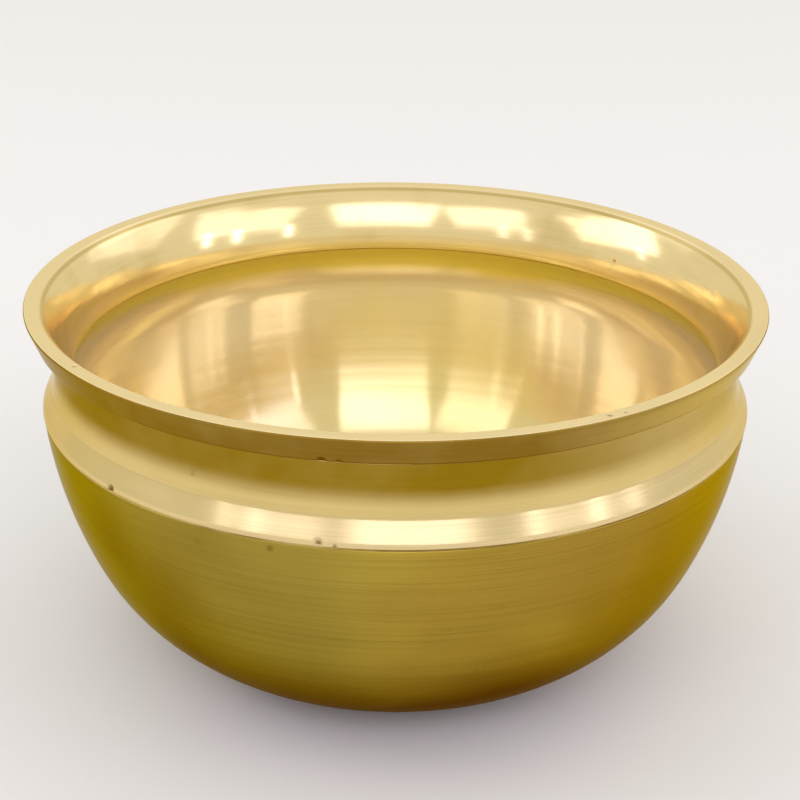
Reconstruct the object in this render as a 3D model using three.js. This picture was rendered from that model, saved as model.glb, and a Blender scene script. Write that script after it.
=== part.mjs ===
// Wide-mouthed brass cooking pot, built as a brazed and turned vessel.
//
// A round-bottomed lower bowl carries a coved shoulder collar, and the collar carries a thick
// everted mouth ring. Each joint is a lap: a thin lip of one piece slides inside the next, and a
// ring of brazing metal closes the line that shows outside.
//
// Millimetres, +Z up. The origin is the centre of the flat base, and Z is the axis of revolution.
// A profile is a list of [radius, height] points that runs counter-clockwise round the metal.

import * as THREE from 'three';

// Whole pot
const HEIGHT = 130;
const MOUTH_RADIUS = 125;
const SEGMENTS = 72;

// Mouth ring
const LIP_WIDTH = 5.2;
const BEVEL_WIDTH = 1.6;
const BEVEL_DEPTH = 1.3;
const FLANK_DEPTH = 8.8;
const FLANK_TAPER = 3.6;
const FLARE_RADIUS = 110.3;
const FLARE_DEPTH = 18;
const FLARE_ARC = 40;
const THROAT_RADIUS = 109.9;
const THROAT_DEPTH = 21.2;
const SKIRT_DEPTH = 23.2;

// Shoulder collar
const NECK_RADIUS = 114.8;
const NECK_DEPTH = 10.6;
const COVE_ARC = 130;
const CONE_RADIUS = 117.4;
const CONE_HEIGHT = 101.6;
const RIDGE_BAND = 1.7;
const RIDGE_BAND_TAPER = 0.3;
const HOLLOW_FOOT_LEAN = THREE.MathUtils.degToRad(8.4);
const HOLLOW_ARC = 25.6;
const HOLLOW_STEPS = 8;

// Lower bowl
const BELLY_RADIUS = 120.8;
const BELLY_HEIGHT = 93.4;
const BOWL_SET_IN = 0.3;
const BOWL_WALL = 3.4;
const BOWL_TOP_LEAN = THREE.MathUtils.degToRad(5.6);
const BOWL_MID_LEAN = THREE.MathUtils.degToRad(24.7);
const BOWL_SIDE_ARC = 153.5;

// Lap joints and brazing
const LAP_CLEARANCE = 0.1;
const NECK_LAP_WALL = 3.7;
const BELLY_LAP_STEPS = 5;
const BELLY_LAP_WALL = 1.9;
const BELLY_BRAZE = 0.5;
const BRAZE_SET_IN = 0.2;
const NECK_BRAZE_LEG = 1.3;

// Levels worked out from the dimensions above
const throatHeight = HEIGHT - THROAT_DEPTH;
const neckHeight = HEIGHT - NECK_DEPTH;
const neckLapEnd = HEIGHT - SKIRT_DEPTH;
const bowlTopHeight = BELLY_HEIGHT - BELLY_BRAZE;
const bowlTopRadius = BELLY_RADIUS - BOWL_SET_IN;

// Points along a circular arc between two profile points, both ends included. A positive radius
// turns the path to the left, and a negative one turns it to the right.
function arc(from, to, radius, steps) {
  const [r0, z0] = from;
  const [r1, z1] = to;
  const chord = Math.hypot(r1 - r0, z1 - z0);
  const reach = Math.sqrt(radius * radius - (chord * chord) / 4) * Math.sign(radius);
  const centreR = (r0 + r1) / 2 - (reach * (z1 - z0)) / chord;
  const centreZ = (z0 + z1) / 2 + (reach * (r1 - r0)) / chord;
  const start = Math.atan2(z0 - centreZ, r0 - centreR);
  const sweep = 2 * Math.asin(chord / (2 * radius));
  const size = Math.abs(radius);
  return Array.from({ length: steps + 1 }, (_, i) => {
    const angle = start + (sweep * i) / steps;
    return [centreR + size * Math.cos(angle), centreZ + size * Math.sin(angle)];
  });
}

// Radius of a straight stretch between two profile points at a height
function radiusAt(height, low, high) {
  return low[0] + ((high[0] - low[0]) * (height - low[1])) / (high[1] - low[1]);
}

// Solid of revolution about Z. The profile is closed here unless both its ends are on the axis.
function turned(profile) {
  const onAxis = profile[0][0] === 0 && profile[profile.length - 1][0] === 0;
  const outline = onAxis ? profile : [...profile, profile[0]];
  const points = outline.map(([radius, height]) => new THREE.Vector2(radius, height));
  return new THREE.LatheGeometry(points, SEGMENTS).rotateX(Math.PI / 2);
}

function turnedBrass() {
  return new THREE.MeshStandardMaterial({ color: 0xd9b96a, roughness: 0.34, metalness: 1 });
}

function bowlBrass() {
  return new THREE.MeshStandardMaterial({ color: 0xa8892f, roughness: 0.42, metalness: 1 });
}

function brazingMetal() {
  return new THREE.MeshStandardMaterial({ color: 0x7a5f22, roughness: 0.6, metalness: 1 });
}

// The bowl's wall, from the flat base up to where its side reaches a lean, at a depth inside the
// outer surface. Two arcs that meet at a common tangent share their centres between both faces.
function bowlWall(depth, topLean) {
  const sideCentre = [
    bowlTopRadius - BOWL_SIDE_ARC * Math.cos(BOWL_TOP_LEAN),
    bowlTopHeight + BOWL_SIDE_ARC * Math.sin(BOWL_TOP_LEAN),
  ];
  const joinOut = (radius) => [
    sideCentre[0] + radius * Math.cos(BOWL_MID_LEAN),
    sideCentre[1] - radius * Math.sin(BOWL_MID_LEAN),
  ];
  const bottomArc = joinOut(BOWL_SIDE_ARC)[1] / (1 - Math.sin(BOWL_MID_LEAN));
  const baseRadius = joinOut(BOWL_SIDE_ARC)[0] - bottomArc * Math.cos(BOWL_MID_LEAN);
  const join = joinOut(BOWL_SIDE_ARC - depth);
  const top = [
    sideCentre[0] + (BOWL_SIDE_ARC - depth) * Math.cos(topLean),
    sideCentre[1] - (BOWL_SIDE_ARC - depth) * Math.sin(topLean),
  ];
  const bottom = arc([baseRadius, depth], join, bottomArc - depth, 8);
  const side = arc(join, top, BOWL_SIDE_ARC - depth, 5);
  return [...bottom, ...side.slice(1)];
}

// Inner face of the pot: the bowl's wall, then one hollow that runs from just below the belly up
// to the foot of the mouth ring's skirt, in the bowl's lip first and in the collar after it
const bowlInside = bowlWall(BOWL_WALL, HOLLOW_FOOT_LEAN);
const hollowFoot = bowlInside[bowlInside.length - 1];
const skirtFoot = [THROAT_RADIUS, neckLapEnd];
const hollow = arc(hollowFoot, skirtFoot, HOLLOW_ARC, HOLLOW_STEPS);

// Outer face of the bowl's lip, from the belly to the lip's top edge, at a clearance
function lipOutside(clearance) {
  const wall = BELLY_LAP_WALL + clearance;
  const above = hollow.findIndex(([, height]) => height > BELLY_HEIGHT + clearance);
  const foot = radiusAt(BELLY_HEIGHT, hollow[above - 1], hollow[above]);
  const rise = hollow.slice(above, BELLY_LAP_STEPS).map(([radius, height]) => [radius + wall, height]);
  const [topRadius, topHeight] = hollow[BELLY_LAP_STEPS];
  return [
    [foot + wall, BELLY_HEIGHT + clearance],
    ...rise,
    [topRadius + wall, topHeight + clearance],
  ];
}

// Outer face of the mouth ring's straight skirt
const skirtOuter = THROAT_RADIUS + NECK_LAP_WALL;

// Lower bowl: flat base, round sides, and a thin lip at the top that laps inside the collar
function lowerBowl() {
  const outside = lipOutside(0);
  const shelf = [outside[0][0], bowlTopHeight];
  const inside = [...bowlInside, ...hollow.slice(1, BELLY_LAP_STEPS + 1)].reverse();
  const wall = bowlWall(0, BOWL_TOP_LEAN);
  const profile = [[0, 0], ...wall, shelf, ...outside, ...inside, [0, BOWL_WALL]];
  return new THREE.Mesh(turned(profile), bowlBrass());
}

// Shoulder collar: a shallow cove, a plain cone below it and a narrow ridge at the foot, rebated
// inside for the bowl's lip at its foot and for the mouth ring's skirt at its top
function shoulderCollar() {
  const ridgeTop = [BELLY_RADIUS - RIDGE_BAND_TAPER, BELLY_HEIGHT + RIDGE_BAND];
  const coveTop = [NECK_RADIUS, neckHeight];
  const seat = skirtOuter + LAP_CLEARANCE;
  const seatEnd = neckLapEnd - LAP_CLEARANCE;
  const rebate = lipOutside(LAP_CLEARANCE).reverse();
  const rebateEnd = rebate[0][1];
  const face = hollow.slice(BELLY_LAP_STEPS);
  const profile = [
    [BELLY_RADIUS, BELLY_HEIGHT + LAP_CLEARANCE],
    ridgeTop,
    ...arc([CONE_RADIUS, CONE_HEIGHT], coveTop, -COVE_ARC, 7),
    [seat, neckHeight],
    [seat, seatEnd],
    [radiusAt(seatEnd, face[face.length - 2], skirtFoot), seatEnd],
    ...face.slice(1, -1).reverse(),
    [radiusAt(rebateEnd, face[0], face[1]), rebateEnd],
    ...rebate,
  ];
  return new THREE.Mesh(turned(profile), turnedBrass());
}

// Mouth ring: flat lip, bevel, gently flared inside down to an upright throat, tapered flank
// outside, and a skirt that laps inside the collar
function mouthRing() {
  const lipInner = MOUTH_RADIUS - LIP_WIDTH;
  const bevelEnd = [lipInner - BEVEL_WIDTH, HEIGHT - BEVEL_DEPTH];
  const flankFoot = [MOUTH_RADIUS - FLANK_TAPER, HEIGHT - FLANK_DEPTH];
  const underside = neckHeight + LAP_CLEARANCE;
  const profile = [
    [skirtOuter, neckLapEnd],
    [skirtOuter, underside],
    [NECK_RADIUS, underside],
    flankFoot,
    [MOUTH_RADIUS, HEIGHT],
    [lipInner, HEIGHT],
    ...arc(bevelEnd, [FLARE_RADIUS, HEIGHT - FLARE_DEPTH], FLARE_ARC, 6),
    [THROAT_RADIUS, throatHeight],
    skirtFoot,
  ];
  return new THREE.Mesh(turned(profile), turnedBrass());
}

// Brazing metal in the butt line between the collar's foot and the bowl's top edge
function bellyBraze() {
  const inner = lipOutside(LAP_CLEARANCE)[0][0];
  const outer = bowlTopRadius - BRAZE_SET_IN;
  const foot = bowlTopHeight + LAP_CLEARANCE;
  const profile = [[inner, foot], [outer, foot], [outer, BELLY_HEIGHT], [inner, BELLY_HEIGHT]];
  return new THREE.Mesh(turned(profile), brazingMetal());
}

// Fillet of brazing metal in the corner where the mouth ring overhangs the collar's neck
function neckBraze() {
  const foot = neckHeight - NECK_BRAZE_LEG;
  const inner = NECK_RADIUS + LAP_CLEARANCE;
  const profile = [
    [inner + LAP_CLEARANCE, foot],
    [inner + NECK_BRAZE_LEG, neckHeight],
    [inner, neckHeight],
  ];
  return new THREE.Mesh(turned(profile), brazingMetal());
}

const pieces = {
  lower_bowl: lowerBowl(),
  shoulder_collar: shoulderCollar(),
  mouth_ring: mouthRing(),
  belly_braze: bellyBraze(),
  neck_braze: neckBraze(),
};

const pot = new THREE.Group();
for (const [name, mesh] of Object.entries(pieces)) {
  mesh.name = name;
  pot.add(mesh);
}

export default pot;
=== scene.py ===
"""A brazed and turned brass pot: the looks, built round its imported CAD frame.

Every visible piece is a surface of revolution with rounded edges, a slight wobble, turning waves
and the pits and blobs of hand work. Lengths are in metres, +Z is up, and Z is the pot's axis.
"""

from math import atan2, cos, hypot, pi, radians, sin, sqrt, tan

import bpy
import numpy as np
from mathutils import Matrix, Vector

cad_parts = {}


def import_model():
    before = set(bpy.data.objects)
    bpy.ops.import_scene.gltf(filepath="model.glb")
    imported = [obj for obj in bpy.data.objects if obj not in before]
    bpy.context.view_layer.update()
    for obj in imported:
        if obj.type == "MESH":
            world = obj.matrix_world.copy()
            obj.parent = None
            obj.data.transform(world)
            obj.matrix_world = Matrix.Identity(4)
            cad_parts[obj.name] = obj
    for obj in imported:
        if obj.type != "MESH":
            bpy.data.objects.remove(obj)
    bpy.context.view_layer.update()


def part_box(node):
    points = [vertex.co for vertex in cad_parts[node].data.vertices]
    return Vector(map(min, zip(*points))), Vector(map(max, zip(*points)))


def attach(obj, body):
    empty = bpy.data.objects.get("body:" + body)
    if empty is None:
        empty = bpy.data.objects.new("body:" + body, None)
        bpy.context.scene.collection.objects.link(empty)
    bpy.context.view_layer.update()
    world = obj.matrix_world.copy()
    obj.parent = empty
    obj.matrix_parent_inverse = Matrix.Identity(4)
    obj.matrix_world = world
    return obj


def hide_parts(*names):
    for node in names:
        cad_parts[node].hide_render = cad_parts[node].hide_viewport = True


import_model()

MM = 0.001

# Levels and radii of the CAD pieces
MOUTH_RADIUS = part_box("mouth_ring")[1].x
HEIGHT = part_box("mouth_ring")[1].z
NECK_LAP_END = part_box("mouth_ring")[0].z
NECK_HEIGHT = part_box("shoulder_collar")[1].z
BELLY_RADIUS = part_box("shoulder_collar")[1].x
COLLAR_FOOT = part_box("shoulder_collar")[0].z
BOWL_TOP_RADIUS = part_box("lower_bowl")[1].x
BELLY_LAP_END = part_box("lower_bowl")[1].z
BRAZE_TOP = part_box("belly_braze")[1].z
BRAZE_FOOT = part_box("belly_braze")[0].z
BRAZE_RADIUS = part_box("belly_braze")[1].x

# Mouth ring
LIP_WIDTH = 5.2 * MM
BEVEL_WIDTH = 1.6 * MM
BEVEL_DEPTH = 1.3 * MM
FLANK_DEPTH = 8.8 * MM
FLANK_TAPER = 3.6 * MM
FLARE_RADIUS = 110.3 * MM
FLARE_DEPTH = 18 * MM
FLARE_ARC = 40 * MM
THROAT_RADIUS = 109.9 * MM
THROAT_DEPTH = 21.2 * MM

# Collar and bowl
LAP_CLEARANCE = 0.1 * MM
NECK_RADIUS = 114.8 * MM
COVE_ARC = 130 * MM
CONE_RADIUS = 117.4 * MM
CONE_HEIGHT = 101.6 * MM
HOLLOW_FOOT_LEAN = radians(8.4)
HOLLOW_ARC = 25.6 * MM
RIDGE_BAND = 1.7 * MM
RIDGE_BAND_TAPER = 0.3 * MM
BOWL_WALL = 3.4 * MM
BOWL_TOP = BRAZE_FOOT - LAP_CLEARANCE
BOWL_TOP_LEAN = radians(5.6)
BOWL_MID_LEAN = radians(24.7)
BOWL_SIDE_ARC = 153.5 * MM
BELLY_LAP_WALL = 1.9 * MM
NECK_LAP_WALL = 3.7 * MM
THROAT_DRAW_IN = 0.25 * MM
END_GAP = 0.02 * MM

# Roundings of the turned edges
BOWL_TOP_ROUND = 0.3 * MM
RIDGE_FOOT_ROUND = 0.35 * MM
RIDGE_TOP_ROUND = 0.4 * MM
CONE_ROUND = 3 * MM
SKIRT_END_ROUND = 0.2 * MM
FLANK_FOOT_ROUND = 1.5 * MM
LIP_OUTER_ROUND = 0.45 * MM
LIP_INNER_ROUND = 0.35 * MM
BEVEL_ROUND = 0.8 * MM
THROAT_ROUND = 8 * MM
SKIRT_FOOT_ROUND = 2.2 * MM
ROUNDING_STEP = 0.35 * MM
# Share of the shorter side beside a corner that its rounding may use
ROUNDING_ROOM = 0.45

# Brazed seams
SEAM_SPREAD = 0.08 * MM
SEAM_ROUND = 0.12 * MM
SEAM_ROUNDING_STEP = 0.05 * MM
FILLET_STAND_OUT = 0.12 * MM
FILLET_RISE = 0.4 * MM
FILLET_BACK_RISE = 0.05 * MM
FILLET_ARC = 1.6 * MM

# Straight pieces in each arc
BOTTOM_STEPS = 80
SIDE_STEPS = 54
LONG_ARC_STEPS = 60
FILLET_STEPS = 8
# Points along the lap at the belly
LAP_POINTS = 8

# Mesh: spacing along the outline, and columns round the axis
BOWL_STEP = 1.5 * MM
BOWL_COLUMNS = 216
UPPER_STEP = 0.4 * MM
UPPER_COLUMNS = 384
SEAM_STEP = 0.1 * MM
FILLET_STEP = 0.3 * MM
BRAZE_COLUMNS = 512
SHARP_ANGLE = radians(38)
# How many times higher the waves are on the brazed seams
BRAZE_RIPPLE = 3.0
# Waves and wobble fade out within this radius, so that the poles stay on the axis
AXIS_FADE = 8 * MM

# How the pot is out of true: lobes round it, size in millimetres, phase, and turn from base to
# mouth in radians
WOBBLE = [(2, 0.22, 0.7, 0), (3, 0.08, 2.1, 0), (5, 0.05, -pi / 2, 9)]
# Turning waves: height and length in millimetres, share of the drift, and phase
WAVES = [(0.010, 13.7, 1, 0.0), (0.005, 5.3, 2, 1.1), (0.0022, 2.6, 3, 2.3)]
# How the waves drift round the pot: lobes, size and phase
WAVE_DRIFT = [(1, 0.35, 1.3), (3, 0.2, 0.0)]

# Dents: extra columns across each, their reach and the dent's width as shares of its size, and
# the depth from which a pit's painted shade is darkest
DENT_COLUMNS = 15
DENT_REACH = 1.3
DENT_WIDTH = 0.55
PIT_SHADE_DEPTH = 0.5 * MM
# A face whose normal points inward or upward past these takes the inside material
INWARD_LEAN = -0.05
UPWARD_LEAN = 0.75

# Camera: it looks down into the mouth from in front
CAMERA_DISTANCE = 5.013 * MOUTH_RADIUS
CAMERA_ELEVATION = radians(20.0)
CAMERA_PITCH = radians(23.484)
CAMERA_YAW = radians(0.158)
CAMERA_ROLL = radians(0.540)
LENS = 82.66
SENSOR = 36.0

# Lights round the pot: azimuth, elevation, width and height in degrees, and brightness
LIGHT_DISTANCE = 2.2
SOFTBOXES = [
    (-85, 33, 34, 27, 1.65),
    (-127, 32, 27, 24, 1.1),
    (177, 31, 34, 24, 1.5),
    (-27, 32, 36, 26, 0.95),
    (27, 31, 34, 26, 0.6),
    (90, 50, 100, 26, 0.25),
]
STRIPS = [
    (-14, 17, 2.5, 12, 3.8),
    (-27, 17, 2.5, 12, 3.8),
    (-48, 17, 2.0, 12, 3.8),
    (-132, 17, 3.0, 10, 1.8),
    (-142, 17, 2.5, 10, 1.8),
    (168, 17, 2.5, 10, 1.8),
]
# The lights are cool, with a gain that makes up for the tint. The room's fill light is warm
DAYLIGHT = (0.74, 0.72, 1.0)
DAYLIGHT_GAIN = 1.34
ROOM = (1.0, 0.99, 0.93)
AMBIENT = 0.8
FLOOR = (0.87, 0.86, 0.8)
FLOOR_ROUGHNESS = 0.9
FLOOR_REACH = 6.0


# ---------------------------------------------------------------- outlines

def arc(start, end, radius, steps):
    """Points on an arc between two points. A positive radius turns to the left."""
    (r0, z0), (r1, z1) = start, end
    chord = hypot(r1 - r0, z1 - z0)
    reach = sqrt(radius * radius - chord * chord / 4) * (1 if radius > 0 else -1)
    centre_r = (r0 + r1) / 2 - reach * (z1 - z0) / chord
    centre_z = (z0 + z1) / 2 + reach * (r1 - r0) / chord
    begin = atan2(z0 - centre_z, r0 - centre_r)
    sweep = 2 * np.arcsin(chord / (2 * radius))
    turns = begin + sweep * np.linspace(0, 1, steps + 1)
    size = abs(radius)
    return [(centre_r + size * cos(t), centre_z + size * sin(t)) for t in turns]


def rounded(corners, step=ROUNDING_STEP):
    """A closed outline from corners (radius, height, rounding), each rounded off by an arc.

    Where a rounding meets an arc, the arc's first or last points are left out to make room.
    """
    out = []
    count = len(corners)
    for i, corner in enumerate(corners):
        here = np.array(corner[:2])
        size = corner[2] if len(corner) > 2 else 0
        if size == 0:
            out.append(tuple(here))
            continue
        before = np.array(corners[i - 1][:2]) - here
        after = np.array(corners[(i + 1) % count][:2]) - here
        room = ROUNDING_ROOM * min(np.linalg.norm(before), np.linalg.norm(after))
        before /= np.linalg.norm(before)
        after /= np.linalg.norm(after)
        half = np.arccos(np.clip(before @ after, -1, 1)) / 2
        cut = min(size / np.tan(half), room)
        turn = before[0] * after[1] - before[1] * after[0]
        radius = cut * np.tan(half) * (1 if turn < 0 else -1)
        steps = max(3, int(abs(radius) * (pi - 2 * half) / step) + 2)
        out += arc(here + before * cut, here + after * cut, radius, steps)
    return out


def subdivided(points, step):
    """The same path with points no further apart than step."""
    out = [points[0]]
    for a, b in zip(points, points[1:]):
        pieces = max(1, int(np.ceil(hypot(b[0] - a[0], b[1] - a[1]) / step)))
        for k in range(1, pieces + 1):
            out.append((a[0] + (b[0] - a[0]) * k / pieces, a[1] + (b[1] - a[1]) * k / pieces))
    return out


def bowl_wall(depth, top_lean):
    """The bowl's wall from the base up to a lean of its side, at a depth inside the outer surface."""
    centre_r = BOWL_TOP_RADIUS - BOWL_SIDE_ARC * cos(BOWL_TOP_LEAN)
    centre_z = BOWL_TOP + BOWL_SIDE_ARC * sin(BOWL_TOP_LEAN)
    side = BOWL_SIDE_ARC - depth
    join_outer_z = centre_z - BOWL_SIDE_ARC * sin(BOWL_MID_LEAN)
    join_outer_r = centre_r + BOWL_SIDE_ARC * cos(BOWL_MID_LEAN)
    bottom_arc = join_outer_z / (1 - sin(BOWL_MID_LEAN))
    base_radius = join_outer_r - bottom_arc * cos(BOWL_MID_LEAN)
    join = (centre_r + side * cos(BOWL_MID_LEAN), centre_z - side * sin(BOWL_MID_LEAN))
    top = (centre_r + side * cos(top_lean), centre_z - side * sin(top_lean))
    bottom = arc((base_radius, depth), join, bottom_arc - depth, BOTTOM_STEPS)
    return bottom + arc(join, top, side, SIDE_STEPS)[1:]


BOWL_INSIDE = bowl_wall(BOWL_WALL, HOLLOW_FOOT_LEAN)
SKIRT_FOOT = (THROAT_RADIUS, NECK_LAP_END)
HOLLOW = arc(BOWL_INSIDE[-1], SKIRT_FOOT, HOLLOW_ARC, LONG_ARC_STEPS)
LIP_INSIDE = [p for p in HOLLOW if p[1] < BELLY_LAP_END]
COLLAR_INSIDE = [p for p in HOLLOW if p[1] > BELLY_LAP_END + LAP_CLEARANCE]


def hollow_radius(height):
    """Radius of the pot's inner face at a height between the belly and the skirt."""
    return float(np.interp(height, [p[1] for p in HOLLOW], [p[0] for p in HOLLOW]))


def lip_outside(clearance):
    """Outer face of the bowl's lip, from the belly up to the lip's top edge."""
    wall = BELLY_LAP_WALL + clearance
    heights = np.linspace(BRAZE_TOP + clearance, BELLY_LAP_END, LAP_POINTS)
    return [(hollow_radius(z) + wall, float(z)) for z in heights]


def bowl_outline():
    wall = bowl_wall(0, BOWL_TOP_LEAN)
    outside = lip_outside(0)
    corners = [
        (0, 0),
        *wall[:-1],
        (*wall[-1], BOWL_TOP_ROUND),
        (outside[0][0], BOWL_TOP),
        *outside,
        (hollow_radius(BELLY_LAP_END), BELLY_LAP_END),
        *reversed(LIP_INSIDE[1:]),
        *reversed(BOWL_INSIDE),
        (0, BOWL_WALL),
    ]
    return rounded(corners)


def collar_outline():
    seat = THROAT_RADIUS + NECK_LAP_WALL + LAP_CLEARANCE
    seat_end = NECK_LAP_END - END_GAP
    rebate = lip_outside(LAP_CLEARANCE)
    lip_end = BELLY_LAP_END + END_GAP
    ridge_top = (BELLY_RADIUS - RIDGE_BAND_TAPER, BRAZE_TOP + RIDGE_BAND)
    neck = (NECK_RADIUS, NECK_HEIGHT)
    cove = arc((CONE_RADIUS, CONE_HEIGHT), neck, -COVE_ARC, LONG_ARC_STEPS)
    corners = [
        (rebate[0][0], COLLAR_FOOT),
        (BELLY_RADIUS, COLLAR_FOOT, RIDGE_FOOT_ROUND),
        (*ridge_top, RIDGE_TOP_ROUND),
        (*cove[0], CONE_ROUND),
        *cove[2:],
        (seat, NECK_HEIGHT),
        (seat, seat_end),
        (hollow_radius(seat_end), seat_end),
        *reversed(COLLAR_INSIDE[:-2]),
        (hollow_radius(lip_end), lip_end),
        (rebate[-1][0], lip_end),
        *reversed(rebate[1:-1]),
    ]
    return rounded(corners)


def mouth_outline():
    lip_inner = MOUTH_RADIUS - LIP_WIDTH
    bevel_end = (lip_inner - BEVEL_WIDTH, HEIGHT - BEVEL_DEPTH)
    skirt = THROAT_RADIUS + NECK_LAP_WALL
    underside = NECK_HEIGHT + LAP_CLEARANCE
    flare_end = (FLARE_RADIUS, HEIGHT - FLARE_DEPTH)
    flare = arc(bevel_end, flare_end, FLARE_ARC, LONG_ARC_STEPS)
    corners = [
        (skirt, NECK_LAP_END, SKIRT_END_ROUND),
        (skirt, underside),
        (NECK_RADIUS, underside),
        (MOUTH_RADIUS - FLANK_TAPER, HEIGHT - FLANK_DEPTH, FLANK_FOOT_ROUND),
        (MOUTH_RADIUS, HEIGHT, LIP_OUTER_ROUND),
        (lip_inner, HEIGHT, LIP_INNER_ROUND),
        (*bevel_end, BEVEL_ROUND),
        *flare[3:],
        (THROAT_RADIUS - THROAT_DRAW_IN, HEIGHT - THROAT_DEPTH, THROAT_ROUND),
        (*SKIRT_FOOT, SKIRT_FOOT_ROUND),
    ]
    return rounded(corners)


def belly_braze_outline():
    """The seam at the belly, spread into the clearances above and below it."""
    inner = lip_outside(LAP_CLEARANCE)[0][0]
    foot = BRAZE_FOOT - SEAM_SPREAD
    top = BRAZE_TOP + SEAM_SPREAD
    corners = [
        (inner, foot),
        (BRAZE_RADIUS, foot, SEAM_ROUND),
        (BRAZE_RADIUS, top, SEAM_ROUND),
        (inner, top),
    ]
    return rounded(corners, SEAM_ROUNDING_STEP)


def neck_braze_outline():
    """The hollow-faced fillet in the corner between the neck and the mouth ring."""
    low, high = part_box("neck_braze")
    foot = (NECK_RADIUS + FILLET_STAND_OUT, low.z)
    tip = (high.x, NECK_HEIGHT + FILLET_RISE)
    back = (NECK_RADIUS, NECK_HEIGHT + FILLET_BACK_RISE)
    return arc(foot, tip, -FILLET_ARC, FILLET_STEPS) + [back, (NECK_RADIUS, low.z)]


# ---------------------------------------------------------------- lathe

def wobble(azimuth, height):
    """How far the wall stands out of true, which grows from the base to the mouth."""
    share = np.clip(height / HEIGHT, 0, 1)
    out = 0
    for lobes, size, phase, turn in WOBBLE:
        out += size * np.cos(lobes * azimuth + phase + turn * height / HEIGHT)
    return out * share * MM


def waves(azimuth, along):
    """Shallow turning waves left by the tool, along the outline."""
    s = along / MM
    drift = sum(size * np.sin(lobes * azimuth + phase) for lobes, size, phase in WAVE_DRIFT)
    out = 0
    for height, length, share, phase in WAVES:
        out += height * np.sin(2 * pi * s / length + share * drift + phase)
    return out * MM


def turned(name, outline, step, columns, dents=(), ripple=1.0):
    """A body of revolution from a closed outline, with wobble, turning waves and dents.

    A dent is (azimuth in degrees, radius, height, size, depth); a negative depth is a blob.
    """
    on_axis = outline[0][0] == 0
    path = subdivided(outline if on_axis else outline + [outline[0]], step)
    path = np.array(path if on_axis else path[:-1])
    around = list(np.linspace(-pi, pi, columns, endpoint=False))
    for azimuth, radius, _, size, _ in dents:
        spread = np.linspace(-DENT_REACH, DENT_REACH, DENT_COLUMNS) * size / radius
        around += [(a + pi) % (2 * pi) - pi for a in radians(azimuth) + spread]
    around = np.array(sorted(set(round(a, 7) for a in around)))

    ahead = np.roll(path, -1, 0) - path
    length = np.hypot(ahead[:, 0], ahead[:, 1])
    along = np.concatenate([[0], np.cumsum(length)[:-1]])
    if on_axis:
        tangent = np.gradient(path, axis=0)
    else:
        tangent = (np.roll(path, -1, 0) - np.roll(path, 1, 0)) / 2
    tangent /= np.maximum(np.hypot(tangent[:, 0], tangent[:, 1]), 1e-12)[:, None]
    normal = np.stack([tangent[:, 1], -tangent[:, 0]], 1)

    phi, s = np.meshgrid(around, along)
    r = np.repeat(path[:, :1], len(around), 1)
    z = np.repeat(path[:, 1:], len(around), 1)
    out = waves(phi, s) * ripple
    # Pits get painted shade in their colour, the more the deeper they are; blobs get none
    pit_shade = np.zeros_like(out)
    for azimuth, radius, height, size, depth in dents:
        far = np.hypot((phi - radians(azimuth)) * radius, np.hypot(r - radius, z - height))
        mark_share = np.exp(-(far / (DENT_WIDTH * size)) ** 3)
        out -= depth * mark_share
        pit_shade = np.maximum(pit_shade, mark_share * min(1, depth / PIT_SHADE_DEPTH))
    fade = np.clip(r / AXIS_FADE, 0, 1)
    r2 = r + (out * normal[:, :1] + wobble(phi, z)) * fade
    z2 = z + out * normal[:, 1:] * fade
    rows, cols = r.shape
    vertices = np.stack([r2 * np.cos(phi), r2 * np.sin(phi), z2], -1).reshape(-1, 3)

    index = np.arange(rows * cols).reshape(rows, cols)
    if on_axis:
        vertices, faces = with_poles(vertices, index, path)
    else:
        a, b = index, np.roll(index, -1, 1)
        d, c = np.roll(a, -1, 0), np.roll(b, -1, 0)
        faces = np.stack([a, b, c, d], -1).reshape(-1, 4).tolist()
    mesh = bpy.data.meshes.new(name)
    mesh.from_pydata(vertices.tolist(), [], faces)
    mesh.shade_smooth()
    mesh.set_sharp_from_angle(angle=SHARP_ANGLE)
    inner = (normal[:, 0] < INWARD_LEAN) | (normal[:, 1] > UPWARD_LEAN)
    mark(mesh, "along", np.repeat(along / MM, cols), on_axis, cols)
    mark(mesh, "pit_shade", pit_shade.ravel(), on_axis, cols)
    mark(mesh, "inner", np.repeat(inner.astype(float), cols), on_axis, cols)
    marks = np.array([a.value for a in mesh.attributes["inner"].data])
    for polygon in mesh.polygons:
        polygon.material_index = int(marks[list(polygon.vertices)].mean() > 0.5)
    piece = bpy.data.objects.new(name, mesh)
    bpy.context.scene.collection.objects.link(piece)
    return piece


def mark(mesh, name, values, on_axis, cols):
    """Writes one number for each vertex, which the materials read."""
    if on_axis:
        values = np.concatenate([values[cols:-cols], [values[0], values[-1]]])
    mesh.attributes.new(name, "FLOAT", "POINT").data.foreach_set("value", values.astype(np.float32))


def with_poles(vertices, index, path):
    """Closes an outline that starts and ends on the axis with one vertex at each end."""
    rows, cols = index.shape
    inner = vertices[cols:(rows - 1) * cols]
    low = len(inner)
    poles = np.array([[0, 0, path[0, 1]], [0, 0, path[-1, 1]]])
    vertices = np.concatenate([inner, poles])
    ring = index[: rows - 2]
    a, b = ring[:-1], np.roll(ring, -1, 1)[:-1]
    d, c = ring[1:], np.roll(ring, -1, 1)[1:]
    faces = np.stack([a, b, c, d], -1).reshape(-1, 4).tolist()
    first, last = ring[0], ring[-1]
    faces += [[low, int(first[(j + 1) % cols]), int(first[j])] for j in range(cols)]
    faces += [[low + 1, int(last[j]), int(last[(j + 1) % cols])] for j in range(cols)]
    return vertices, faces


# ---------------------------------------------------------------- materials

# Colour sockets of the Mix node, which come after those for numbers and vectors
MIX_FIRST = 6
MIX_SECOND = 7
MIX_RESULT = 2


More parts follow.
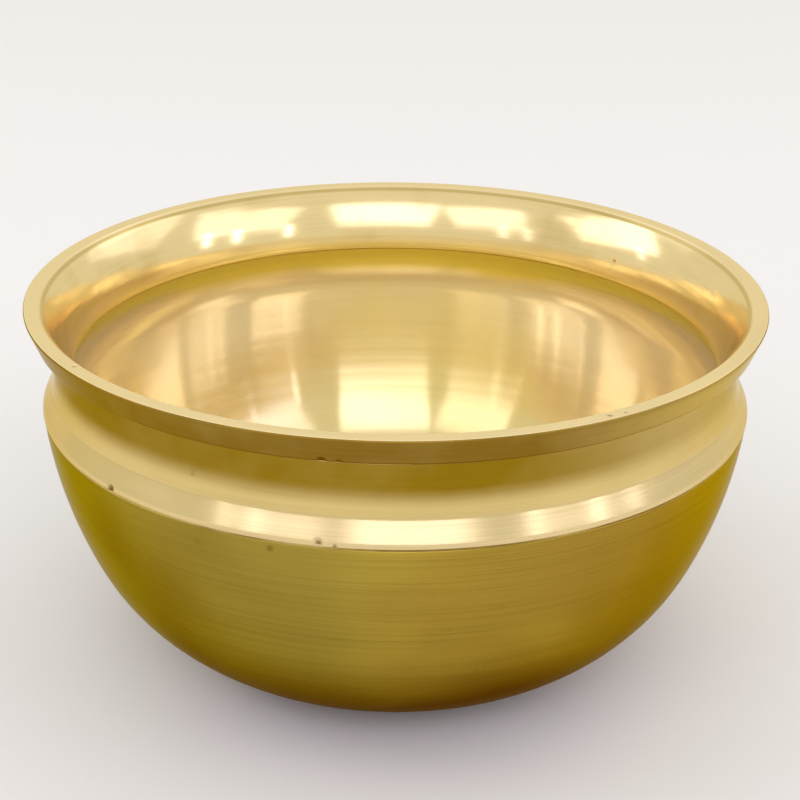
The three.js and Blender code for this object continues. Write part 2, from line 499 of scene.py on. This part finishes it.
class Nodes:
    """A material's node tree, with short calls for the nodes that the brass uses."""

    def __init__(self, name):
        self.material = bpy.data.materials.new(name)
        self.material.use_nodes = True
        self.tree = self.material.node_tree
        self.shader = self.tree.nodes["Principled BSDF"]

    def add(self, kind, **settings):
        node = self.tree.nodes.new(kind)
        for key, value in settings.items():
            setattr(node, key, value)
        return node

    def feed(self, socket, value):
        if isinstance(value, bpy.types.NodeSocket):
            self.tree.links.new(value, socket)
        else:
            socket.default_value = value

    def math(self, operation, a, b=0.0, clamp=False):
        node = self.add("ShaderNodeMath", operation=operation, use_clamp=clamp)
        self.feed(node.inputs[0], a)
        self.feed(node.inputs[1], b)
        return node.outputs[0]

    def above(self, value, level, share):
        """How far a value lies above a level, times a share."""
        return self.math("MULTIPLY", self.math("SUBTRACT", value, level), share)

    def from_least(self, least, spread, share):
        """A share that starts at a least value and grows by a spread."""
        return self.math("ADD", least, self.math("MULTIPLY", share, spread))

    def fade(self, value, start, end):
        """0 at the start and before it, 1 from the end on. The start can be the higher one."""
        node = self.add("ShaderNodeMapRange", interpolation_type="SMOOTHSTEP")
        self.feed(node.inputs["Value"], value)
        node.inputs["From Min"].default_value = start
        node.inputs["From Max"].default_value = end
        return node.outputs["Result"]

    def mix(self, share, a, b):
        node = self.add("ShaderNodeMix", data_type="RGBA", clamp_factor=True)
        self.feed(node.inputs[0], share)
        self.feed(node.inputs[MIX_FIRST], a if isinstance(a, bpy.types.NodeSocket) else (*a, 1))
        self.feed(node.inputs[MIX_SECOND], b if isinstance(b, bpy.types.NodeSocket) else (*b, 1))
        return node.outputs[MIX_RESULT]

    def noise(self, vector, scale, detail=2.0, rough=0.5):
        node = self.add("ShaderNodeTexNoise")
        self.feed(node.inputs["Vector"], vector)
        node.inputs["Scale"].default_value = scale
        node.inputs["Detail"].default_value = detail
        node.inputs["Roughness"].default_value = rough
        return node.outputs["Fac"]

    def position(self):
        """Object coordinates, their height in millimetres and the direction round the axis."""
        where = self.add("ShaderNodeTexCoord").outputs["Object"]
        split = self.add("ShaderNodeSeparateXYZ")
        self.feed(split.inputs[0], where)
        x, y, z = split.outputs
        squares = self.math("ADD", self.math("MULTIPLY", x, x), self.math("MULTIPLY", y, y))
        radius = self.math("MAXIMUM", self.math("SQRT", squares), 1 * MM)
        east = self.math("DIVIDE", x, radius)
        north = self.math("DIVIDE", y, radius)
        return where, self.math("DIVIDE", z, MM), east, north

    def streaks(self, east, north, along, turn_scale, line_scale, detail=2.0):
        """Noise drawn out round the axis: long marks, close together along the outline."""
        where = self.add("ShaderNodeCombineXYZ")
        self.feed(where.inputs[0], self.math("MULTIPLY", east, turn_scale))
        self.feed(where.inputs[1], self.math("MULTIPLY", north, turn_scale))
        self.feed(where.inputs[2], self.math("MULTIPLY", along, line_scale))
        return self.noise(where.outputs[0], 1.0, detail)


# Streaks: scale round the axis, scale along the outline, and detail
FINE_STREAKS = (1.3, 3.2, 3.0)
BROAD_STREAKS = (1.4, 0.55, 2.0)
# Cloudy tarnish: scale, detail and roughness of the noise
CLOUD = (28.0, 3.0, 0.55)
PATCH = (11.0, 2.0, 0.5)
# Noise levels above which the metal darkens, and how far it does
STREAK_LEVEL = 0.47
CLOUD_LEVEL = 0.5
BROAD_LINES = 0.6
CLOUD_SHARE = 0.25
# How far the painted shade in pits darkens the metal
PIT_SHADE_SHARE = 0.9
# How far each noise spreads the roughness
ROUGHNESS_SPREAD = 0.04
# Share of a full turn between the radial tangent and the stretch of reflections
LEAN_TURN = 0.25
# How much of the fresh colour's red, green and blue is left in lines and pits. In pits this
# darkening is painted shade
LINE_AND_PIT_SHADE = (0.22, 0.16, 0.06)


def turned_brass(name, fresh, layers, rough, lean, grain, lines, metal=1.0):
    """Lathe-turned brass. layers builds a list of (share, tint) to lay over the fresh colour.

    lean is the anisotropy, which stretches reflections across the turning lines. grain is the
    lines' height in millimetres, lines how far they darken the metal, metal the metallic share.
    """
    n = Nodes(name)
    where, height, east, north = n.position()
    along = n.add("ShaderNodeAttribute", attribute_name="along").outputs["Fac"]
    fine = n.streaks(east, north, along, *FINE_STREAKS)
    broad = n.streaks(east, north, along, *BROAD_STREAKS)
    cloud = n.noise(where, *CLOUD)
    patch = n.noise(where, *PATCH)
    roughness = rough - ROUGHNESS_SPREAD
    for pattern in (broad, cloud):
        roughness = n.math("ADD", roughness, n.math("MULTIPLY", pattern, ROUGHNESS_SPREAD))
    colour = fresh
    for share, (shade, rougher) in layers(n, height, east, north, cloud, patch):
        colour = n.mix(share, colour, shade)
        roughness = n.math("ADD", roughness, n.math("MULTIPLY", share, rougher))
    lined = n.above(broad, STREAK_LEVEL, lines * BROAD_LINES)
    lined = n.math("ADD", lined, n.above(fine, STREAK_LEVEL, lines))
    lined = n.math("ADD", lined, n.above(cloud, CLOUD_LEVEL, CLOUD_SHARE))
    # Painted shade in pits, from the share that turned() writes
    pit_shade = n.add("ShaderNodeAttribute", attribute_name="pit_shade").outputs["Fac"]
    lined = n.math("MAXIMUM", lined, n.math("MULTIPLY", pit_shade, PIT_SHADE_SHARE))
    dark = tuple(c * k for c, k in zip(fresh, LINE_AND_PIT_SHADE))
    n.feed(n.shader.inputs["Base Color"], n.mix(lined, colour, dark))
    n.shader.inputs["Metallic"].default_value = metal
    # The root keeps grazing reflections golden, but paler than the metal itself
    n.shader.inputs["Specular Tint"].default_value = (*(sqrt(c) for c in fresh), 1)
    n.feed(n.shader.inputs["Roughness"], roughness)
    n.shader.inputs["Anisotropic"].default_value = lean
    n.shader.inputs["Anisotropic Rotation"].default_value = LEAN_TURN
    tangent = n.add("ShaderNodeTangent", direction_type="RADIAL", axis="Z")
    n.feed(n.shader.inputs["Tangent"], tangent.outputs["Tangent"])
    bump = n.add("ShaderNodeBump")
    bump.inputs["Strength"].default_value = 1.0
    bump.inputs["Distance"].default_value = grain * MM
    n.feed(bump.inputs["Height"], fine)
    n.feed(n.shader.inputs["Normal"], bump.outputs["Normal"])
    return n.material


# Colours of the metal before the tints
INSIDE = (0.92, 0.8, 0.52)
FLARE = (0.9, 0.72, 0.35)
# The bowl's dark olive is partly patina and partly painted shade, standing in for the darker floor it
# reflects
BOWL = (0.54, 0.385, 0.055)
COLLAR = (0.74, 0.56, 0.22)
FLANK = (0.7, 0.52, 0.18)
FILLER = (0.58, 0.44, 0.14)

# Tints: a colour and the roughness that it adds
# Painted shade: darker deep inside the pot
INSIDE_DEEP_SHADE = ((0.84, 0.69, 0.38), 0.0)
# Painted reflection tone in the hollow under the throat, also used for faint patches
HOLLOW_REFLECTION_AND_PATCHES = ((1.0, 0.86, 0.15), 0.12)
FLARE_SMUDGE = ((0.7, 0.52, 0.2), 0.05)
THROAT = ((0.95, 0.76, 0.28), 0.1)
# Painted dark reflection along the lip's inner bevel
BEVEL_DARK_REFLECTION = ((0.5, 0.37, 0.08), 0.05)
# Painted highlight: the lip's top made paler
LIP_TOP_HIGHLIGHT = ((0.94, 0.76, 0.4), 0.1)
# Painted reflection tones: olive on the bowl's left side, orange on its right
BOWL_LEFT_REFLECTION_TONE = ((0.38, 0.28, 0.045), 0.0)
BOWL_RIGHT_REFLECTION_TONE = ((0.5, 0.325, 0.05), 0.0)
# Patina and painted shade at the bowl's base, strongest in front; also used for faint spots
BOWL_BASE_PATINA_AND_SHADE = ((0.14, 0.036, 0.005), 0.06)
# Painted highlight: a paler band above the belly
COLLAR_BAND_HIGHLIGHT = ((0.8, 0.63, 0.32), 0.07)
# Painted shade: olive under the neck, where the rim overhangs
COLLAR_NECK_SHADE = ((0.29, 0.175, 0.006), 0.06)
# Painted shade: brown on the downward-facing flank and along its upper edge
FLANK_BROWN_SHADE = ((0.29, 0.17, 0.02), 0.05)
FLANK_RIM_SHADE = ((0.29, 0.17, 0.02), 0.0)
FILLER_DARK = ((0.3, 0.2, 0.04), 0.05)

# Where tints come in, each from its first value to its second. Heights are in millimetres,
# sides run from -1 (left, or front) to 1 (right, or back), and spots go by the noise's level
BOWL_LEFT_REFLECTION_SIDE = (0.12, -0.25)
BOWL_RIGHT_REFLECTION_SIDE = (0.15, 0.7)
BOWL_LOW = (54.0, 12.0)
BOWL_BASE_SHADE_FRONT = (-0.5, -0.95)
BOWL_SPOTS = (0.45, 0.65)
NECK_SHADE_HEIGHTS = (103.5, 111.5)
NECK_SHADE_RIGHT = (0.35, 0.8)
BAND_HIGHLIGHT_HEIGHTS = (103.0, 100.5)
BAND_HIGHLIGHT_LEFT = (-0.8, -0.2)
FLANK_SHADE_LEFT = (0.85, 0.3)
FLANK_RIM_SHADE_HEIGHTS = (127.5, 129.8)
HOLLOW_REFLECTION_UPPER = (110.0, 106.0)
HOLLOW_REFLECTION_LOWER = (94.0, 102.0)
INSIDE_SPOTS = (0.52, 0.7)
INSIDE_DEEP_SHADE_HEIGHTS = (80.0, 55.0)
FLARE_SPOTS = (0.55, 0.75)
THROAT_LOW = (112.0, 108.0)
BEVEL_DARK_REFLECTION_HEIGHTS = (128.2, 128.8)
LIP_TOP_HIGHLIGHT_HEIGHTS = (129.3, 129.7)
FILLER_SPOTS = (0.4, 0.6)
# Millimetres by which the noise shifts the hollow's lower limit
HOLLOW_REFLECTION_SWAY = 14.0

# How strong the tints are: a single share, or a least share and how much it grows
SPOT_SHARE = 0.3
BASE_SHADE_FRONT_SHARE = (0.4, 0.6)
NECK_SHADE_RIGHT_LOSS = 0.6
NECK_SHADE_CLOUDS = (0.7, 0.5)
BAND_HIGHLIGHT_LEFT_SHARE = (0.4, 0.6)
FLANK_SHADE_CLOUDS = (0.5, 0.9)
FLANK_RIM_SHADE_SHARE = 0.5
SMUDGE_SHARE = 0.5
BEVEL_DARK_REFLECTION_SHARE = 0.55


def bowl_layers(n, height, east, north, cloud, patch):
    """Olive to the left and orange to the right, both painted reflection tones, and red-brown at the
    base, patina and painted shade strongest in front, and in faint spots.
    """
    left = n.fade(east, *BOWL_LEFT_REFLECTION_SIDE)
    right = n.fade(east, *BOWL_RIGHT_REFLECTION_SIDE)
    low = n.fade(height, *BOWL_LOW)
    front = n.fade(north, *BOWL_BASE_SHADE_FRONT)
    base = n.math("MULTIPLY", low, n.from_least(*BASE_SHADE_FRONT_SHARE, front))
    spots = n.math("MULTIPLY", n.fade(patch, *BOWL_SPOTS), SPOT_SHARE)
    return [
        (left, BOWL_LEFT_REFLECTION_TONE),
        (right, BOWL_RIGHT_REFLECTION_TONE),
        (n.math("ADD", base, spots, True), BOWL_BASE_PATINA_AND_SHADE),
    ]


def collar_layers(n, height, east, north, cloud, patch):
    """A painted highlight in a bright band above the belly, and olive painted shade under the
    neck, where the rim overhangs, less so towards the right.
    """
    neck = n.fade(height, *NECK_SHADE_HEIGHTS)
    right = n.fade(east, *NECK_SHADE_RIGHT)
    kept = n.math("SUBTRACT", 1.0, n.math("MULTIPLY", right, NECK_SHADE_RIGHT_LOSS))
    neck = n.math("MULTIPLY", neck, kept)
    neck = n.math("MULTIPLY", neck, n.from_least(*NECK_SHADE_CLOUDS, cloud), True)
    front = n.from_least(*BAND_HIGHLIGHT_LEFT_SHARE, n.fade(east, *BAND_HIGHLIGHT_LEFT))
    band = n.math("MULTIPLY", n.fade(height, *BAND_HIGHLIGHT_HEIGHTS), front)
    return [(band, COLLAR_BAND_HIGHLIGHT), (neck, COLLAR_NECK_SHADE)]


def flank_layers(n, height, east, north, cloud, patch):
    """Painted shade on the downward-facing flank: brown round the left and the front, brighter on
    the right, and a brown upper edge.
    """
    left = n.fade(east, *FLANK_SHADE_LEFT)
    brown = n.math("MULTIPLY", left, n.from_least(*FLANK_SHADE_CLOUDS, cloud), True)
    edge = n.math("MULTIPLY", n.fade(height, *FLANK_RIM_SHADE_HEIGHTS), FLANK_RIM_SHADE_SHARE)
    return [(brown, FLANK_BROWN_SHADE), (edge, FLANK_RIM_SHADE)]


def inside_layers(n, height, east, north, cloud, patch):
    """Painted shade deep inside, an olive-gold painted reflection tone in the hollow under the
    throat, and a few faint patches lower down.
    """
    uneven = n.math("ADD", height, n.above(patch, CLOUD_LEVEL, HOLLOW_REFLECTION_SWAY))
    upper = n.fade(height, *HOLLOW_REFLECTION_UPPER)
    hollow = n.math("MULTIPLY", upper, n.fade(uneven, *HOLLOW_REFLECTION_LOWER))
    spots = n.math("MULTIPLY", n.fade(patch, *INSIDE_SPOTS), SPOT_SHARE)
    return [
        (n.fade(height, *INSIDE_DEEP_SHADE_HEIGHTS), INSIDE_DEEP_SHADE),
        (n.math("ADD", hollow, spots, True), HOLLOW_REFLECTION_AND_PATCHES),
    ]


def flare_layers(n, height, east, north, cloud, patch):
    """Faint smudges on the flare, a yellower throat, a pale lip that is a painted highlight, and a
    dark line inside it, a painted dark reflection on the bevel.
    """
    smudge = n.math("MULTIPLY", n.fade(cloud, *FLARE_SPOTS), SMUDGE_SHARE)
    edge = n.math("MULTIPLY", n.fade(height, *BEVEL_DARK_REFLECTION_HEIGHTS), BEVEL_DARK_REFLECTION_SHARE)
    return [
        (smudge, FLARE_SMUDGE),
        (n.fade(height, *THROAT_LOW), THROAT),
        (edge, BEVEL_DARK_REFLECTION),
        (n.fade(height, *LIP_TOP_HIGHLIGHT_HEIGHTS), LIP_TOP_HIGHLIGHT),
    ]


def filler_layers(n, height, east, north, cloud, patch):
    """Darker blotches along the brazed seams."""
    return [(n.fade(cloud, *FILLER_SPOTS), FILLER_DARK)]


# ---------------------------------------------------------------- pieces

# Pits, notches and blobs: azimuth in degrees, then radius, height, size and depth
MOUTH_MARKS = [
    (-143.8, 121.4 * MM, 130.0 * MM, 1.4 * MM, 0.3 * MM),
    (-59.5, 121.8 * MM, 130.0 * MM, 1.6 * MM, 0.35 * MM),
    (-57.0, 122.4 * MM, 130.0 * MM, 1.2 * MM, 0.3 * MM),
    (-99.9, 121.6 * MM, 121.4 * MM, 2.2 * MM, 0.5 * MM),
    (-97.5, 121.5 * MM, 121.3 * MM, 1.8 * MM, 0.3 * MM),
    (41.6, 110.7 * MM, 114.5 * MM, 1.8 * MM, 0.18 * MM),
    (10.0, 113.7 * MM, 121.6 * MM, 3.0 * MM, 0.06 * MM),
]
COLLAR_MARKS = [
    (-136.3, 120.7 * MM, 94.3 * MM, 2.6 * MM, 0.55 * MM),
    (-100.5, 120.6 * MM, 94.6 * MM, 1.8 * MM, 0.45 * MM),
    (-98.2, 120.7 * MM, 94.0 * MM, 1.3 * MM, 0.35 * MM),
    (-86.1, 115.1 * MM, 118.2 * MM, 3.4 * MM, -0.55 * MM),
    (-121.0, 116.6 * MM, 108.0 * MM, 2.0 * MM, 0.12 * MM),
]
BOWL_MARKS = [
    (-107.6, 120.0 * MM, 90.4 * MM, 2.0 * MM, 0.3 * MM),
    (-119.2, 119.7 * MM, 87.3 * MM, 2.6 * MM, 0.12 * MM),
    (-74.0, 116.5 * MM, 70.0 * MM, 2.0 * MM, 0.1 * MM),
]


def place(piece, node, slot, *materials):
    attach(piece, "root")
    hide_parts(node)
    for material in materials:
        piece.data.materials.append(material)


inside = turned_brass(
    "brass_inside", INSIDE, inside_layers, rough=0.12, lean=0.9, grain=0.004, lines=0.2, metal=0.7
)
flare = turned_brass(
    "brass_flare", FLARE, flare_layers, rough=0.14, lean=0.4, grain=0.004, lines=0.25, metal=0.78
)
bowl_skin = turned_brass(
    "brass_bowl", BOWL, bowl_layers, rough=0.25, lean=0.8, grain=0.01, lines=0.8
)
collar_skin = turned_brass(
    "brass_collar", COLLAR, collar_layers, rough=0.16, lean=0.5, grain=0.008, lines=0.35
)
flank_skin = turned_brass(
    "brass_flank", FLANK, flank_layers, rough=0.2, lean=0.6, grain=0.012, lines=0.7
)
filler = turned_brass(
    "brazing_metal", FILLER, filler_layers, rough=0.4, lean=0.2, grain=0.03, lines=0.6
)

bowl = turned("lower_bowl_turned", bowl_outline(), BOWL_STEP, BOWL_COLUMNS, BOWL_MARKS)
place(bowl, "lower_bowl", "bowl_brass", bowl_skin, inside)
collar = turned(
    "shoulder_collar_turned", collar_outline(), UPPER_STEP, UPPER_COLUMNS, COLLAR_MARKS
)
place(collar, "shoulder_collar", "collar_brass", collar_skin, inside)
mouth = turned("mouth_ring_turned", mouth_outline(), UPPER_STEP, UPPER_COLUMNS, MOUTH_MARKS)
place(mouth, "mouth_ring", "mouth_brass", flank_skin, flare)
seam = turned(
    "belly_braze_line", belly_braze_outline(), SEAM_STEP, BRAZE_COLUMNS, (), BRAZE_RIPPLE
)
place(seam, "belly_braze", "brazing_metal", filler, filler)
fillet = turned(
    "neck_braze_fillet", neck_braze_outline(), FILLET_STEP, BRAZE_COLUMNS, (), BRAZE_RIPPLE
)
place(fillet, "neck_braze", "brazing_metal", filler, filler)


# ---------------------------------------------------------------- stage

def floor():
    reach = FLOOR_REACH
    mesh = bpy.data.meshes.new("floor")
    corners = [(-reach, -reach, 0), (reach, -reach, 0), (reach, reach, 0), (-reach, reach, 0)]
    mesh.from_pydata(corners, [], [(0, 1, 2, 3)])
    plane = bpy.data.objects.new("floor", mesh)
    bpy.context.scene.collection.objects.link(plane)
    material = bpy.data.materials.new("pale_floor")
    material.use_nodes = True
    shader = material.node_tree.nodes["Principled BSDF"]
    shader.inputs["Base Color"].default_value = (*FLOOR, 1)
    shader.inputs["Roughness"].default_value = FLOOR_ROUGHNESS
    mesh.materials.append(material)


def camera():
    data = bpy.data.cameras.new("camera")
    data.lens = LENS
    data.sensor_width = SENSOR
    eye = bpy.data.objects.new("camera", data)
    bpy.context.scene.collection.objects.link(eye)
    turn = (
        Matrix.Rotation(-CAMERA_YAW, 4, "Z")
        @ Matrix.Rotation(pi / 2 - CAMERA_PITCH, 4, "X")
        @ Matrix.Rotation(CAMERA_ROLL, 4, "Z")
    )
    back = CAMERA_DISTANCE * cos(CAMERA_ELEVATION)
    up = HEIGHT + CAMERA_DISTANCE * sin(CAMERA_ELEVATION)
    eye.matrix_world = Matrix.Translation((0, -back, up)) @ turn
    bpy.context.scene.camera = eye


def softbox(azimuth, elevation, wide, tall, glow):
    """A rectangular light that faces the pot, with its spans in degrees as seen from the pot."""
    data = bpy.data.lights.new("softbox", "AREA")
    data.shape = "RECTANGLE"
    data.size = 2 * LIGHT_DISTANCE * tan(radians(wide / 2))
    data.size_y = 2 * LIGHT_DISTANCE * tan(radians(tall / 2))
    data.color = DAYLIGHT
    data.energy = glow * DAYLIGHT_GAIN * pi * data.size * data.size_y
    lamp = bpy.data.objects.new("softbox", data)
    bpy.context.scene.collection.objects.link(lamp)
    a, e = radians(azimuth), radians(elevation)
    toward = Vector((cos(a) * cos(e), sin(a) * cos(e), sin(e)))
    lamp.location = toward * LIGHT_DISTANCE + Vector((0, 0, HEIGHT))
    lamp.rotation_euler = toward.to_track_quat("Z", "Y").to_euler()


def world():
    scene_world = bpy.data.worlds.new("studio")
    scene_world.use_nodes = True
    background = scene_world.node_tree.nodes["Background"]
    background.inputs["Color"].default_value = (*ROOM, 1)
    background.inputs["Strength"].default_value = AMBIENT
    bpy.context.scene.world = scene_world


floor()
camera()
world()
for light in SOFTBOXES + STRIPS:
    softbox(*light)
bpy.context.scene.view_settings.view_transform = "Standard"
